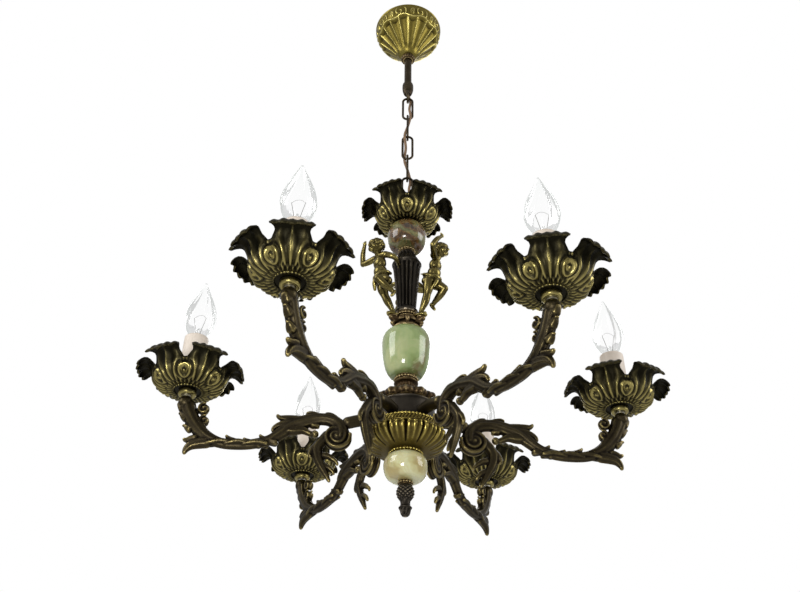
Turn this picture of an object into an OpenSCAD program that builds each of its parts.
// Six arm chandelier: ceiling rose and stem, five link chain, cast cups, onyx stones,
// fluted column with three putti, gilded hub, scroll arms, candle sleeves and bulbs.
// Millimetres. The origin is on the ceiling, at the middle of the bracket; +Z is up.

/* [Ceiling] */
// Distance between the two ceiling screws
screw_pitch = 64; // [56:1:70]
// Diameter of the ceiling screw holes
screw_hole_d = 5; // [4:0.5:6]
// Radius of the canopy's rim
canopy_r = 48; // [46:1:60]
// Height of the canopy, from its rim to its small end
canopy_h = 60; // [50:1:72]
// Sheet thickness of the canopy
canopy_wall = 1.2; // [0.8:0.1:1.6]

/* [Stem and chain] */
// Lowest point of the stem tube, below the ceiling
stem_drop = 126; // [105:1:160]
// Outer diameter of the stem tube
stem_d = 10; // [8:0.5:12]
// Bore of the stem tube
stem_bore = 7.4; // [5:0.2:7.6]
// Wire diameter of the chain
link_wire = 3; // [2.4:0.1:3.6]
// Outer length of a link
link_len = 44; // [36:1:56]
// Outer width of a link
link_w = 16; // [15:0.5:20]
// Diameter of the supply cable
cable_d = 3.6; // [3:0.1:3.8]

/* [Column] */
// Diameter of the threaded rod that holds the stack together
rod_d = 8; // [7:0.1:10]
// Bore of the rod, which the supply cable runs down
rod_bore = 4.6; // [4:0.1:5]
// Widest diameter of the upper stone
top_stone_d = 47; // [38:1:58]
// Height of the upper stone
top_stone_h = 37; // [30:1:46]
// Height of the fluted column
column_h = 90; // [80:1:110]
// Widest radius of the fluted column
column_r = 17; // [14:0.5:20]
// Widest diameter of the middle stone
vase_d = 54; // [44:1:64]
// Height of the middle stone
vase_h = 59; // [48:1:72]

/* [Hub] */
// Outer radius of the drum that carries the arms
drum_r = 31; // [27:1:34]
// Wall of the drum
drum_wall = 3; // [2:0.5:4]
// Height of the drum
drum_h = 25; // [21:1:30]
// Height of the bowl under the drum
bowl_h = 31; // [26:1:38]
// Widest radius of the bowl
bowl_r = 41.5; // [38:0.5:46]
// Widest diameter of the bottom stone
low_stone_d = 45; // [36:1:54]
// Height of the bottom stone
low_stone_h = 28; // [22:1:34]
// Height of the finial
finial_h = 33; // [26:1:40]

/* [Arms and lights] */
// Distance from the axis to the middle of a candle
arm_reach = 230; // [195:1:280]
// Thickness of an arm across its flat sides
arm_t = 11; // [9:0.5:14]
// Angle by which the ring of arms is turned from the X axis
ring_turn = 3.8; // [0:0.1:59]
// Radius of a cup to the tips of its leaves
cup_r = 57.5; // [54:0.5:66]
// Thickness of a cup's wall
cup_wall = 1.8; // [1.4:0.1:2.4]
// Outer diameter of a candle sleeve
sleeve_d = 26; // [21.5:0.1:31.5]
// Wall of a candle sleeve
sleeve_wall = 1; // [0.8:0.1:1.4]
// Length of a candle sleeve
sleeve_len = 62; // [50:1:80]
// Diameter of a bulb's screw cap
cap_d = 14; // [12:0.5:16]
// Widest diameter of a bulb
bulb_d = 35; // [30:1:40]
// Length of a bulb's glass
bulb_len = 78; // [65:1:90]
// Diameter of the threaded nipples under the lampholders
nipple_d = 10; // [8:0.5:11]

/* [Hidden] */
$fn = 48;

// Clearances
fit = 0.1;
gap = 0.3;

// Ceiling plate: two raised ears on the ceiling and a lowered middle
bracket_w = 18;
bracket_t = 2.5;
bracket_drop = 14;
bracket_mid = 22;
nut_r = 7.5;
nut_h = 3.5;
stem_top = bracket_drop - nut_h - 0.5;

// Canopy
stem_r = stem_d / 2;
canopy_hole_r = stem_r + gap;
collar_h = 8;
collar_r = stem_r + 5;
canopy_low = gap + canopy_h;

// Loop on the stem, links and the loop of the fixture
loop_nut_h = 15;
loop_nut_r = stem_r + 2.5;
eye_wire = 3.5;
eye_in_r = link_wire + 3;
eye_z = -stem_drop - loop_nut_h - eye_in_r + 2;
link_r = (link_w - link_wire) / 2;
link_pitch = link_len - 2 * link_wire - gap;
link_count = 5;
hang_z = eye_z - eye_in_r;
function seat_z(k) = hang_z - k * link_pitch;
loop_z = seat_z(link_count) + gap - eye_in_r;
loop_body_h = 31;
loop_body_z = loop_z - eye_in_r + 2;
loop_bore_r = cable_d / 2 + 7 * fit;

// Heights of the stack, each from the bottom of the one above
rod_r = rod_d / 2;
rod_hole = rod_r + fit;
cup_floor = 2;
cup_z = loop_body_z - loop_body_h - cup_floor;
top_stone_z = cup_z - top_stone_h;
collar_a_h = 5;
column_top = top_stone_z - collar_a_h;
column_z = column_top - column_h;
collar_b_h = 7;
base_top = column_z - collar_b_h;
base_h = 17;
vase_top = base_top - base_h;
vase_z = vase_top - vase_h;
collar_c_h = 6;
neck_top = vase_z - collar_c_h;
neck_h = 30;
drum_top = neck_top - neck_h;
drum_z = drum_top - drum_h;
bowl_z = drum_z - bowl_h;
low_stone_z = bowl_z - low_stone_h;
collar_d_h = 4;
finial_top = low_stone_z - collar_d_h;
finial_z = finial_top - finial_h;

// Arms: their outline is drawn from the middle of the block that meets the drum
arm_z = drum_top - drum_h * 0.68;
block_r = 6.5;
block_end = 62;
screw_r = 2;
screw_end = drum_r + 12;
seat_rise = 20;
ring_h = 6;
ring_r = nipple_d / 2 + 5.5;
boss_r = nipple_d / 2 + 3;
boss_h = 10;
nipple_r = nipple_d / 2;
nipple_hole = nipple_r + fit;
nipple_in = 7;
candle_z = arm_z + seat_rise + ring_h;
sleeve_r = sleeve_d / 2;
sleeve_z = candle_z + cup_floor;
holder_r = sleeve_r - sleeve_wall - gap;
holder_base = 8;
holder_top = sleeve_len - 4;
cap_r = cap_d / 2;
cap_len = 24;
cap_z = sleeve_len - 1;

// Putti stand on three ears of the column base, half way between the arms
putto_turn = ring_turn + 90;
foot_r = 16;
ear_r = 7;
ear_h = 5;
ear_top = base_top;

// A smooth curve through points of any length, and its direction
function knot(p, i) = p[min(max(i, 0), len(p) - 1)];
function along(p, i, t) =
    let (a = knot(p, i - 1), b = knot(p, i), c = knot(p, i + 1), d = knot(p, i + 2))
    0.5 * (2 * b + (c - a) * t + (2 * a - 5 * b + 4 * c - d) * t * t
        + (3 * b - a - 3 * c + d) * t * t * t);
function curve(p, n = 4) = concat(
    [for (i = [0:len(p) - 2]) for (j = [0:n - 1]) along(p, i, j / n)],
    [p[len(p) - 1]]);
function unit(v) = v / norm(v);
function heading(c, i) = unit(knot(c, i + 1) - knot(c, i - 1));

// A solid of revolution from a smooth outline of [radius, height], with a bore
module turned(points, bore, n = 3) {
    c = curve(points, n);
    z_low = points[len(points) - 1][1];
    z_high = points[0][1];
    rotate_extrude($fn = 72)
        polygon(concat([[bore, z_high]], c, [[bore, z_low]]));
}

module around_arms() {
    for (k = [0:5])
        rotate([0, 0, ring_turn + 60 * k])
            children();
}

module at_arm(k) {
    rotate([0, 0, ring_turn + 60 * (k - 1)])
        translate([arm_reach, 0, 0])
            children();
}

// Ceiling ----------------------------------------------------------------

module ceiling_bracket() color("darkkhaki") {
    ear = screw_pitch / 2 + 8;
    difference() {
        union() {
            for (s = [-1, 1]) {
                translate([s < 0 ? -ear : bracket_mid - bracket_t, -bracket_w / 2, -bracket_t])
                    cube([ear - bracket_mid + bracket_t, bracket_w, bracket_t]);
                translate([s < 0 ? -bracket_mid : bracket_mid - bracket_t, -bracket_w / 2,
                    -bracket_drop - bracket_t])
                    cube([bracket_t, bracket_w, bracket_drop + bracket_t]);
            }
            translate([-bracket_mid, -bracket_w / 2, -bracket_drop - bracket_t])
                cube([2 * bracket_mid, bracket_w, bracket_t]);
        }
        for (s = [-1, 1])
            translate([s * screw_pitch / 2, 0, -bracket_t - 1])
                cylinder(d = screw_hole_d, h = bracket_t + 2);
        translate([0, 0, -bracket_drop - bracket_t - 1])
            cylinder(r = stem_r + fit, h = bracket_t + 2);
    }
}

module stem_nuts() color("goldenrod") {
    for (z = [-bracket_drop, -bracket_drop - bracket_t - nut_h])
        translate([0, 0, z])
            difference() {
                cylinder(r = nut_r, h = nut_h, $fn = 6);
                translate([0, 0, -1])
                    cylinder(r = stem_r + fit, h = nut_h + 2);
            }
}

// A bridge over the top of the stem, which the cable enters from below
module terminal_block() color("ivory") {
    inside = nut_r + 1.5;
    top = 1;
    roof = stem_top - 2.5;
    difference() {
        translate([-15, -6, -bracket_drop])
            cube([30, 12, bracket_drop - top]);
        translate([-inside, -7, -bracket_drop - 1])
            cube([2 * inside, 14, bracket_drop - roof + 1]);
        translate([0, 0, -roof - 1])
            cylinder(d = cable_d + 2 * fit, h = 4);
        for (s = [-1, 1])
            translate([s * 12, 0, -6])
                cylinder(r = 1.6, h = 7);
    }
}

module stem_tube() color("darkgoldenrod")
    translate([0, 0, -stem_drop])
        difference() {
            cylinder(r = stem_r, h = stem_drop - stem_top);
            translate([0, 0, -1])
                cylinder(d = stem_bore, h = stem_drop + 2);
        }

module stem_loop() color("darkgoldenrod") {
    nut_top = -stem_drop + 8;
    difference() {
        union() {
            turned([[stem_r + 1, nut_top], [loop_nut_r, nut_top - 4], [loop_nut_r, -stem_drop - 5],
                [loop_nut_r - 1.5, -stem_drop - loop_nut_h + 3],
                [loop_nut_r - 3, -stem_drop - loop_nut_h]], 0.01);
            translate([0, 0, eye_z])
                rotate([90, 0, 90])
                    rotate_extrude()
                        translate([eye_in_r + eye_wire / 2, 0])
                            circle(d = eye_wire, $fn = 24);
        }
        translate([0, 0, -stem_drop - fit])
            cylinder(r = stem_r + fit, h = 20);
        translate([0, 0, -stem_drop - loop_nut_h - 4])
            cylinder(d = cable_d + 4 * fit, h = loop_nut_h + 5);
    }
}

// The canopy hides the bracket and slides down the stem
module canopy() color("goldenrod") {
    r = canopy_r;
    h = canopy_h;
    w = canopy_wall;
    c = curve([[r - 1, 0], [r + 0.3, -0.035 * h], [0.965 * r, -0.14 * h], [0.89 * r, -0.3 * h],
        [0.76 * r, -0.46 * h], [0.6 * r, -0.61 * h], [0.5 * r, -0.7 * h], [0.42 * r, -0.77 * h],
        [0.31 * r, -0.88 * h], [canopy_hole_r + 5.5, -h]], 3);
    n = len(c);
    inner = [for (i = [n - 1:-1:0]) let (d = heading(c, i)) c[i] + w * [d[1], -d[0]]];
    translate([0, 0, -gap])
        difference() {
            rotate_extrude($fn = 96)
                polygon(concat(c, [[canopy_hole_r, -h], [canopy_hole_r, -h + w]],
                    [for (p = inner) if (p[1] > -h + w && p[1] <= 0) p],
                    [[r - 1 - w, 0]]));
            translate([0, 0, -2 * h])
                cylinder(r = canopy_hole_r, h = 3 * h);
        }
}

module canopy_collar() color("darkgoldenrod")
    translate([0, 0, -canopy_low - collar_h])
        difference() {
            turned([[canopy_hole_r + 4, collar_h], [collar_r + 0.5, collar_h - 1.5],
                [collar_r, collar_h - 4], [stem_r + 3.2, collar_h - 6], [stem_r + 2, 0]],
                canopy_hole_r);
            translate([0, 0, collar_h - 4])
                rotate([0, 90, 0])
                    cylinder(r = 1.3, h = collar_r + 2);
        }

// Chain ------------------------------------------------------------------

// A link in the XZ plane, from the inside of its top bend downwards
module chain_link() {
    straight = link_len - link_w;
    translate([0, 0, -link_r + link_wire / 2]) {
        for (s = [-1, 1])
            translate([s * link_r, 0, -straight])
                cylinder(d = link_wire, h = straight, $fn = 24);
        rotate([90, 0, 0])
            rotate_extrude(angle = 180)
                translate([link_r, 0])
                    circle(d = link_wire, $fn = 24);
        translate([0, 0, -straight])
            rotate([-90, 0, 0])
                rotate_extrude(angle = 180)
                    translate([link_r, 0])
                        circle(d = link_wire, $fn = 24);
    }
}

module hung_link(k) color("darkgoldenrod")
    translate([0, 0, seat_z(k - 1) + gap])
        rotate([0, 0, k % 2 == 1 ? 0 : 90])
            chain_link();

module chain_link_1() hung_link(1);
module chain_link_2() hung_link(2);
module chain_link_3() hung_link(3);
module chain_link_4() hung_link(4);
module chain_link_5() hung_link(5);

// The cable leaves the terminal block, runs down the stem, winds a quarter turn
// through each link, and goes straight down the rod to the terminal in the hub.
quadrant = link_wire / 2 + cable_d / 2 + gap + 0.2;
wind_out = quadrant * sqrt(2);
wind_in = link_r - link_wire / 2 - cable_d / 2 - 0.9;
terminal_z = drum_top - 8;
cable_turns = [for (k = [0:link_count]) each concat(
    [[wind_out * cos(45 - 90 * k), wind_out * sin(45 - 90 * k), seat_z(k)]],
    k == link_count ? [] : [[wind_in * cos(-90 * k), wind_in * sin(-90 * k),
        seat_z(k) - link_pitch / 2]])];
cable_weave = concat([[0, 0, eye_z + 4]], cable_turns,
    [[0.76 * quadrant, -0.87 * quadrant, seat_z(link_count) - 4], [0, 0, loop_body_z + 1],
        [0, 0, loop_body_z - 6]]);
cable_line = concat([[0, 0, -stem_top + 1.2], [0, 0, -stem_drop - 6]],
    curve(cable_weave, 4), [[0, 0, terminal_z - 2]]);

// Sweeps a round section along points; up keeps the rings from twisting
module swept(points, r, sides = 8) {
    n = len(points);
    frames = [for (i = [0:n - 1])
        let (t = heading(points, i), a = unit(cross(t, [0.1, 1, 0.05])), b = cross(t, a))
        [a, b]];
    rings = [for (i = [0:n - 1]) for (s = [0:sides - 1])
        points[i] + r * (cos(360 * s / sides) * frames[i][0] + sin(360 * s / sides) * frames[i][1])];
    walls = [for (i = [0:n - 2]) for (s = [0:sides - 1])
        let (u = (s + 1) % sides)
        [i * sides + s, i * sides + u, (i + 1) * sides + u, (i + 1) * sides + s]];
    polyhedron(rings, concat(walls, [[for (s = [sides - 1:-1:0]) s]],
        [[for (s = [0:sides - 1]) (n - 1) * sides + s]]));
}

module supply_cable() color("tan")
    swept(cable_line, cable_d / 2);

// Column -----------------------------------------------------------------

module top_loop() color("darkgoldenrod") {
    low = loop_body_z - loop_body_h;
    difference() {
        union() {
            turned([[5, loop_body_z + 1], [7.2, loop_body_z - 4], [7.2, loop_body_z - 10],
                [rod_r + 2, loop_body_z - 14], [rod_r + 2, low + 6], [rod_r + 5.5, low + 2],
                [rod_r + 6, low]], 0.01);
            translate([0, 0, loop_z])
                rotate([90, 0, 90])
                    rotate_extrude()
                        translate([eye_in_r + eye_wire / 2, 0])
                            circle(d = eye_wire, $fn = 24);
        }
        translate([0, 0, low - 1])
            cylinder(r = rod_hole, h = 17);
        translate([0, 0, low - 1])
            cylinder(r = loop_bore_r, h = loop_body_h + 8);
    }
}

// A leaf cup: a thin bowl whose rim is cut into six leaves that curl over
module leaf_cup() color("olive") {
    k = cup_r / 57.5;
    bowl = curve([[nipple_hole, 0], [sleeve_r + 0.5, 0], [sleeve_r + 7.5, 1.6], [29, 5.5],
        [34.5, 11], [37.5, 17],
        [40, 23], [45 * k, 26], [50.5 * k, 25], [55 * k, 21], [cup_r, 14]], 3);
    c = [for (p = bowl) [p[0], max(p[1], 0)]];
    n = len(c);
    skin = [for (i = [0:n - 1]) let (d = heading(c, i)) c[i] + cup_wall * [-d[1], d[0]]];
    inner = [for (i = [n - 1:-1:0]) [max(skin[i][0], nipple_hole), skin[i][1]]];
    intersection() {
        difference() {
            rotate_extrude($fn = 72)
                polygon(concat(c, inner));
            translate([0, 0, -1])
                cylinder(r = nipple_hole, h = 10);
        }
        union() {
            translate([0, 0, -1])
                cylinder(r = 40.5, h = 40);
            for (a = [0:60:300])
                rotate([0, 0, a])
                    translate([40 * k, 0, -1])
                        cylinder(r = 19.2 * k, h = 40);
        }
    }
}

module top_cup()
    translate([0, 0, cup_z])
        rotate([0, 0, ring_turn])
            leaf_cup();

// A turned stone: r is its widest radius, at the share m of its height
module stone(r, h, top, bottom, m, bore) {
    turned([[top, h], [top + 0.62 * (r - top), 0.93 * h], [0.93 * r, m * h + 0.62 * (1 - m) * h],
        [r, m * h], [0.95 * r, 0.55 * m * h], [bottom + 0.6 * (r - bottom), 0.14 * h],
        [bottom, 0]], bore, 4);
}

module onyx_top() color("olivedrab")
    translate([0, 0, top_stone_z])
        stone(top_stone_d / 2, top_stone_h, 9, 9, 0.5, rod_hole);

module column() color("dimgray") {
    r = column_r;
    h = column_h;
    translate([0, 0, column_z])
        turned([[rod_r + 3, h], [0.52 * r, 0.97 * h], [0.97 * r, 0.82 * h], [r, 0.79 * h],
            [0.92 * r, 0.74 * h], [0.78 * r, 0.4 * h], [0.65 * r, 0.09 * h], [0.74 * r, 0.04 * h],
            [0.78 * r, 0]], rod_hole);
}

module column_base() color("darkgoldenrod") {
    difference() {
        union() {
            translate([0, 0, vase_top])
                turned([[13, base_h], [13, base_h - ear_h], [14.5, base_h - ear_h - 2],
                    [14.5, base_h - ear_h - 5], [11, base_h - ear_h - 7], [11.5, 2], [11, 0]],
                    rod_hole, 2);
            for (k = [0:2])
                rotate([0, 0, putto_turn + 120 * k])
                    translate([foot_r, 0, ear_top - ear_h])
                        cylinder(r = ear_r, h = ear_h);
        }
        translate([0, 0, vase_top - 1])
            cylinder(r = rod_hole, h = base_h + 2);
    }
}

// A limb between two round joints given as [x, y, z, radius]
module limb(a, b) {
    hull() {
        translate([a[0], a[1], a[2]])
            sphere(r = a[3], $fn = 12);
        translate([b[0], b[1], b[2]])
            sphere(r = b[3], $fn = 12);
    }
}

// A standing child that leans out from the column, one arm up and one on the column
module putto(k) color("goldenrod") {
    hip = [32, -1, 46, 8.6];
    chest = [37.5, 0, 68, 8.6];
    head = [44, 1, 85.5, 9.6];
    shoulder = [41, -9, 76, 4.2];
    elbow = [45.4, -24, 76, 3.4];
    hand = [50, -13, 95, 3];
    shoulder_2 = [36, 9, 74, 4.2];
    elbow_2 = [28, 15, 69, 3.3];
    hand_2 = [column_r + 3.4, 11, 66, 3];
    knee = [27.5, -4, 23, 5];
    ankle = [17.5, 0, 4, 3.4];
    knee_2 = [44, 8, 35, 5.2];
    ankle_2 = [27, 13, 20, 3.4];
    bones = [[hip, chest], [chest, head], [shoulder, elbow], [elbow, hand],
        [shoulder_2, elbow_2], [elbow_2, hand_2], [[33, -4, 42, 7], knee], [knee, ankle],
        [[33, 4, 42, 7], knee_2], [knee_2, ankle_2], [ankle_2, [29, 14, 15, 2.6]]];
    rotate([0, 0, putto_turn + 120 * (k - 1)])
        translate([0, 0, ear_top]) {
            for (b = bones)
                limb(b[0], b[1]);
            translate([head[0], head[1], head[2]])
                sphere(r = head[3], $fn = 16);
            translate([foot_r + 1, 0, 0])
                cylinder(r = 5, h = 4, $fn = 16);
        }
}

module putto_1() putto(1);
module putto_2() putto(2);
module putto_3() putto(3);

module onyx_vase() color("darkseagreen")
    translate([0, 0, vase_z])
        stone(vase_d / 2, vase_h, 10, 13, 0.68, rod_hole);

module hub_neck() color("darkgoldenrod")
    translate([0, 0, drum_top])
        turned([[10, neck_h], [10, neck_h - 4], [12, neck_h - 9], [19, neck_h - 13],
            [drum_r + 1, neck_h - 18], [drum_r + 3, neck_h - 23], [drum_r + 1, 2],
            [drum_r - 0.5, 0]], rod_hole, 2);

module hub_drum() color("black")
    difference() {
        translate([0, 0, drum_z])
            cylinder(r = drum_r, h = drum_h);
        translate([0, 0, drum_z - 1])
            cylinder(r = drum_r - drum_wall, h = drum_h - 2);
        translate([0, 0, drum_top - 4])
            cylinder(r = rod_hole, h = 6);
        around_arms()
            translate([0, 0, arm_z])
                rotate([0, 90, 0])
                    cylinder(r = screw_r + fit, h = drum_r + 5);
    }

// The plastic ring in the drum where the arms' leads meet the cable
module hub_terminal() color("ivory") {
    r = drum_r - drum_wall - 8;
    difference() {
        translate([0, 0, drum_top - 13])
            cylinder(r = r, h = 10);
        translate([0, 0, drum_top - 14])
            cylinder(r = rod_hole, h = 12);
        translate([0, -cable_d / 2 - fit, terminal_z - cable_d])
            cube([13, cable_d + 2 * fit, 12]);
    }
}

module hub_bowl() color("gold") {
    h = bowl_h;
    r = bowl_r;
    w = 3;
    flange = 17;
    c = curve([[drum_r + 7, h], [drum_r + 7, h - 7], [r - 1.5, h - 10], [r, h - 14],
        [0.92 * r, h - 20], [0.68 * r, h - 26], [flange, h - 29.5], [flange, 0]], 3);
    translate([0, 0, bowl_z])
        difference() {
            rotate_extrude($fn = 96)
                polygon(concat([[0, h]], c, [[0, 0]]));
            translate([0, 0, -1])
                cylinder(r = rod_hole, h = h + 2);
            translate([0, 0, h - 17])
                cylinder(r = drum_r + 7 - w, h = 14);
            translate([0, 0, h - 4])
                cylinder(r = drum_r - drum_wall, h = 5);
            translate([0, 0, 0.2 * h])
                cylinder(r1 = flange - w, r2 = drum_r + 7 - w, h = 0.8 * h - 16.9);
        }
}

module onyx_bottom() color("palegoldenrod")
    translate([0, 0, low_stone_z])
        stone(low_stone_d / 2, low_stone_h, 11, 8, 0.48, rod_hole);

module finial() color("darkslategray") {
    h = finial_h;
    difference() {
        translate([0, 0, finial_z])
            turned([[rod_r + 2, h], [rod_r + 3, 0.92 * h], [rod_r + 4, 0.75 * h],
                [rod_r + 4.2, 0.65 * h], [rod_r + 2.2, 0.5 * h], [rod_r + 1, 0.36 * h],
                [rod_r + 1.8, 0.25 * h], [4.4, 0.1 * h], [3.4, 0]], 0.01);
        translate([0, 0, finial_z + 0.55 * h])
            cylinder(r = rod_hole, h = h);
    }
}

// The turned rings between the stones, in one group
module beaded_collars() color("saddlebrown") {
    translate([0, 0, column_top])
        turned([[9, collar_a_h], [10, 0.7 * collar_a_h], [10, 0.3 * collar_a_h],
            [rod_r + 3.5, 0]], rod_hole, 2);
    translate([0, 0, base_top])
        turned([[10.2, collar_b_h], [11.2, 0.75 * collar_b_h], [11.2, 0.3 * collar_b_h], [10.2, 0]],
            rod_hole, 2);
    translate([0, 0, neck_top])
        turned([[12.5, collar_c_h], [13.5, 0.7 * collar_c_h], [13, 0.35 * collar_c_h], [10, 0]],
            rod_hole, 2);
    translate([0, 0, finial_top])
        turned([[7.5, collar_d_h], [8.5, 0.6 * collar_d_h], [8, 0.3 * collar_d_h], [rod_r + 2, 0]],
            rod_hole, 2);
}

module central_rod() color("silver") {
    top = loop_body_z - loop_body_h + 15;
    low = finial_z + 0.56 * finial_h;
    difference() {
        translate([0, 0, low])
            cylinder(r = rod_r, h = top - low);
        translate([0, 0, terminal_z - 8])
            cylinder(d = rod_bore, h = top - terminal_z + 9);
        translate([0, -cable_d / 2 - fit, terminal_z - cable_d])
            cube([rod_d, cable_d + 2 * fit, 25]);
    }
}

// Arms -------------------------------------------------------------------

// One arm's side view as [distance out, height above the arm's axis], in four runs
function arm_outer(r) = [[r + 7, 9], [r, -2], [r - 5, -16], [r - 11, -25], [r - 4.5, -29.5],
    [r - 11.5, -34], [r - 4, -42], [r - 8.5, -46.5], [r - 22, -38], [r - 42, -39], [r - 62, -39],
    [r - 87, -34]];
arm_under = [[124, -24], [117, -19.5], [111, -18], [103, -19], [97.5, -22.5], [92, -22], [90, -18],
    [93, -13], [91, -9], [87, -7], [80, -13], [79, -21], [86, -27], [91, -32], [96, -40], [91, -45],
    [85, -57], [76, -70], [71, -63], [79, -54], [78, -51], [69, -49], [81, -43], [83, -37],
    [77, -33.5], [70, -35], [63, -34], [57.5, -27], [56, -18]];
arm_over = [[54, -5], [55, 5], [69, 3.5], [79, 6], [90, 7], [100, 6], [110, 2], [117, 0.6],
    [126, 3], [131, 2], [135, -3], [132, -12], [138, -18]];
function arm_inner(r) = [[r - 76, -26.5], [r - 61, -28], [r - 54, -24], [r - 41, -28],
    [r - 32.5, -26], [r - 28, -20], [r - 26, -16], [r - 31, -5.5], [r - 27, 0], [r - 27, 8],
    [r - 22, 14]];

module arm(k) color("olive") {
    r = arm_reach;
    c = curve(concat(arm_outer(r), arm_under, arm_over, arm_inner(r)), 2);
    rotate([0, 0, ring_turn + 60 * (k - 1)])
        translate([0, 0, arm_z])
            difference() {
                union() {
                    rotate([90, 0, 0])
                        linear_extrude(height = arm_t, center = true)
                            polygon(c);
                    translate([drum_r - 3, 0, 0])
                        rotate([0, 90, 0])
                            cylinder(r = block_r, h = block_end - drum_r + 3);
                    translate([r, 0, seat_rise - boss_h])
                        cylinder(r = boss_r, h = boss_h);
                }
                translate([0, 0, -block_r - 1])
                    cylinder(r = drum_r + fit, h = 2 * block_r + 2);
                rotate([0, 90, 0])
                    cylinder(r = screw_r + fit, h = screw_end + 1);
                translate([r, 0, seat_rise - nipple_in])
                    cylinder(r = nipple_hole, h = nipple_in + 1);
            }
}

module arm_1() arm(1);
module arm_2() arm(2);
module arm_3() arm(3);
module arm_4() arm(4);
module arm_5() arm(5);
module arm_6() arm(6);

module arm_screws() color("silver") {
    head_r = screw_r + 1.5;
    head_h = 2.5;
    wall = drum_r - drum_wall;
    seat = sqrt(wall * wall - head_r * head_r) - fit;
    around_arms()
        translate([0, 0, arm_z])
            rotate([0, 90, 0]) {
                translate([0, 0, seat - head_h])
                    cylinder(r = head_r, h = head_h);
                translate([0, 0, seat - 1])
                    cylinder(r = screw_r, h = screw_end - seat + 1);
            }
}

// Lights -----------------------------------------------------------------

module candle_cup(k)
    at_arm(k)
        translate([0, 0, candle_z])
            leaf_cup();

module cup_1() candle_cup(1);
module cup_2() candle_cup(2);
module cup_3() candle_cup(3);
module cup_4() candle_cup(4);
module cup_5() candle_cup(5);
module cup_6() candle_cup(6);

module cup_rings() color("saddlebrown")
    for (k = [1:6])
        at_arm(k)
            translate([0, 0, arm_z + seat_rise])
                turned([[ring_r - 1, ring_h], [ring_r, 0.7 * ring_h], [ring_r, 0.3 * ring_h],
                    [ring_r - 1.5, 0]], nipple_hole, 2);

module arm_nipples() color("silver") {
    low = arm_z + seat_rise - nipple_in + 0.5;
    for (k = [1:6])
        at_arm(k)
            translate([0, 0, low])
                difference() {
                    cylinder(r = nipple_r, h = sleeve_z + holder_base - low);
                    translate([0, 0, -1])
                        cylinder(r = nipple_r - 1.4, h = 60);
                }
}

module lampholders() color("white")
    for (k = [1:6])
        at_arm(k)
            translate([0, 0, sleeve_z])
                difference() {
                    cylinder(r = holder_r, h = holder_top);
                    translate([0, 0, -1])
                        cylinder(r = nipple_hole, h = holder_base + 1);
                    translate([0, 0, holder_top - cap_len])
                        cylinder(r = cap_r + fit, h = cap_len + 1);
                }

module sleeve(k) color("antiquewhite")
    at_arm(k)
        translate([0, 0, sleeve_z])
            difference() {
                cylinder(r = sleeve_r, h = sleeve_len);
                translate([0, 0, -1])
                    cylinder(r = sleeve_r - sleeve_wall, h = sleeve_len + 2);
            }

module sleeve_1() sleeve(1);
module sleeve_2() sleeve(2);
module sleeve_3() sleeve(3);
module sleeve_4() sleeve(4);
module sleeve_5() sleeve(5);
module sleeve_6() sleeve(6);

// A thin glass candle bulb on its screw cap
module bulb(k) color("lightcyan") {
    r = bulb_d / 2;
    h = bulb_len;
    wall = 0.9;
    c = curve([[cap_r - 0.8, 0], [cap_r + 1, 0.07 * h], [0.75 * r, 0.2 * h], [0.97 * r, 0.36 * h],
        [r, 0.45 * h], [0.92 * r, 0.58 * h], [0.68 * r, 0.74 * h], [0.38 * r, 0.88 * h],
        [0.14 * r, 0.97 * h], [0.05 * r, h]], 3);
    n = len(c);
    skin = [for (i = [n - 1:-1:0]) let (d = heading(c, i)) c[i] + wall * [-d[1], d[0]]];
    inner = [for (p = skin) if (p[0] > 0.4 && p[1] > 1.2) p];
    at_arm(k)
        translate([0, 0, sleeve_z + cap_z]) {
            rotate_extrude($fn = 64)
                polygon(concat([[0, 0]], c, [[0, h]], [[0, inner[0][1]]], inner,
                    [[inner[len(inner) - 1][0], 1.2], [0, 1.2]]));
            translate([0, 0, -cap_len + 2.5])
                cylinder(r = cap_r, h = cap_len - 2.5);
        }
}

module bulb_1() bulb(1);
module bulb_2() bulb(2);
module bulb_3() bulb(3);
module bulb_4() bulb(4);
module bulb_5() bulb(5);
module bulb_6() bulb(6);

ceiling_bracket();
stem_nuts();
terminal_block();
stem_tube();
stem_loop();
canopy();
canopy_collar();
chain_link_1();
chain_link_2();
chain_link_3();
chain_link_4();
chain_link_5();
supply_cable();
top_loop();
top_cup();
onyx_top();
column();
column_base();
putto_1();
putto_2();
putto_3();
onyx_vase();
hub_neck();
hub_drum();
hub_terminal();
hub_bowl();
onyx_bottom();
finial();
beaded_collars();
central_rod();
arm_screws();
arm_1();
arm_2();
arm_3();
arm_4();
arm_5();
arm_6();
cup_1();
cup_2();
cup_3();
cup_4();
cup_5();
cup_6();
cup_rings();
arm_nipples();
lampholders();
sleeve_1();
sleeve_2();
sleeve_3();
sleeve_4();
sleeve_5();
sleeve_6();
bulb_1();
bulb_2();
bulb_3();
bulb_4();
bulb_5();
bulb_6();
